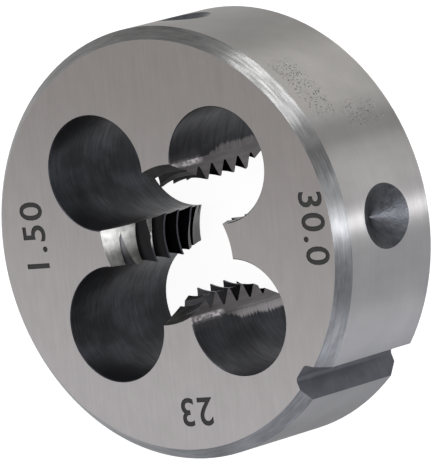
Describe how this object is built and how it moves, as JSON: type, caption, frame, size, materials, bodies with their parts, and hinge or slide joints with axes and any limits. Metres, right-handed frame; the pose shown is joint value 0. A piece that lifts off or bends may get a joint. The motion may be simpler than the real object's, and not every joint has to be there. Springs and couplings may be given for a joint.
{
  "type": "round threading die",
  "caption": "Round threading die: a flat disc with a threaded bore, cutting lands between chip holes, bevelled rims, set-screw seats and an adjusting slot.",
  "frame": {"origin": "centre of the plain back face, which the die lies on", "axes": "+Z along the thread's axis, out of the working face; the lands stand on +X, +Y, -X and -Y and the chip holes between them"},
  "size_m": [0.03, 0.03, 0.011],
  "materials": {
    "tool_steel": "ground and brushed, with dark drilled chip holes"
  },
  "bodies": {
    "root": {"threading_die": "tool_steel"}
  },
  "joints": []
}
